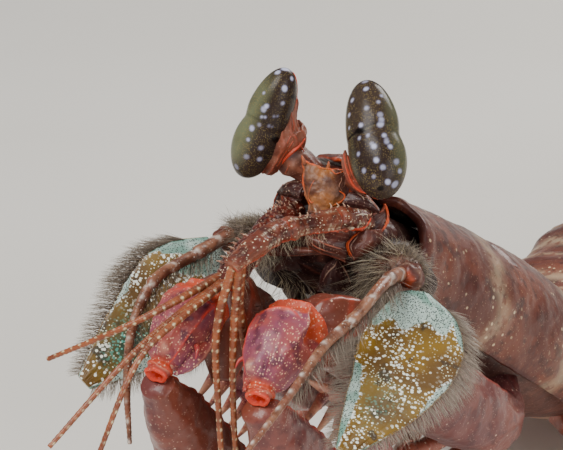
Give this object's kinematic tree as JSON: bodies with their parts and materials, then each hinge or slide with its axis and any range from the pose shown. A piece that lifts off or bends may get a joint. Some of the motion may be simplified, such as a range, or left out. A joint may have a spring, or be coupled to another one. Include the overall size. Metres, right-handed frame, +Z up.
{
  "type": "mantis shrimp",
  "caption": "Life-size spearing mantis shrimp standing with its head raised, stalked eyes up, feelers forward and its raptorial claws folded.",
  "frame": {"origin": "on the floor, under the middle of the model's bounding box", "axes": "+Z up; the animal faces -Y, its tail points to +Y and its own left side is +X"},
  "size_m": [0.0472, 0.1658, 0.0495],
  "materials": {
    "cornea": "glossy dark brown-grey with pale spots",
    "eye_stalk": "satin dark red with orange rims",
    "head_plates": "satin translucent tan and maroon",
    "feelers": "satin red-brown with cream spots",
    "antennal_scales": "satin olive gold with white specks",
    "claws": "glossy coral red and mauve with cream specks",
    "shell": "satin mottled red-brown",
    "underside": "matte pale flesh",
    "limbs": "satin translucent pink-brown"
  },
  "bodies": {
    "root": {"carapace": "shell", "thorax_front": "underside", "rostral_plate": "head_plates", "ocular_somite": "head_plates", "head_front": "head_plates", "mouthparts": "underside", "thorax_6": "shell", "thorax_7": "shell", "thorax_8": "shell", "abdomen_1": "shell", "abdomen_2": "shell", "abdomen_3": "shell", "abdomen_4": "shell", "abdomen_5": "shell", "abdomen_6": "shell", "telson": "shell", "eye_left": "cornea", "eyestalk_left": "eye_stalk", "antennule_left": "feelers", "antenna_left": "feelers", "antennal_scale_left": "antennal_scales", "claw_merus_left": "claws", "claw_carpus_left": "claws", "claw_propodus_left": "claws", "claw_dactyl_left": "claws", "maxilliped_3_left": "limbs", "maxilliped_4_left": "limbs", "maxilliped_5_left": "limbs", "walking_leg_1_left": "limbs", "walking_leg_2_left": "limbs", "walking_leg_3_left": "limbs", "pleopod_1_left": "limbs", "pleopod_2_left": "limbs", "pleopod_3_left": "limbs", "pleopod_4_left": "limbs", "pleopod_5_left": "limbs", "uropod_left": "shell", "eye_right": "cornea", "eyestalk_right": "eye_stalk", "antennule_right": "feelers", "antenna_right": "feelers", "antennal_scale_right": "antennal_scales", "claw_merus_right": "claws", "claw_carpus_right": "claws", "claw_propodus_right": "claws", "claw_dactyl_right": "claws", "maxilliped_3_right": "limbs", "maxilliped_4_right": "limbs", "maxilliped_5_right": "limbs", "walking_leg_1_right": "limbs", "walking_leg_2_right": "limbs", "walking_leg_3_right": "limbs", "pleopod_1_right": "limbs", "pleopod_2_right": "limbs", "pleopod_3_right": "limbs", "pleopod_4_right": "limbs", "pleopod_5_right": "limbs", "uropod_right": "shell"}
  },
  "joints": []
}
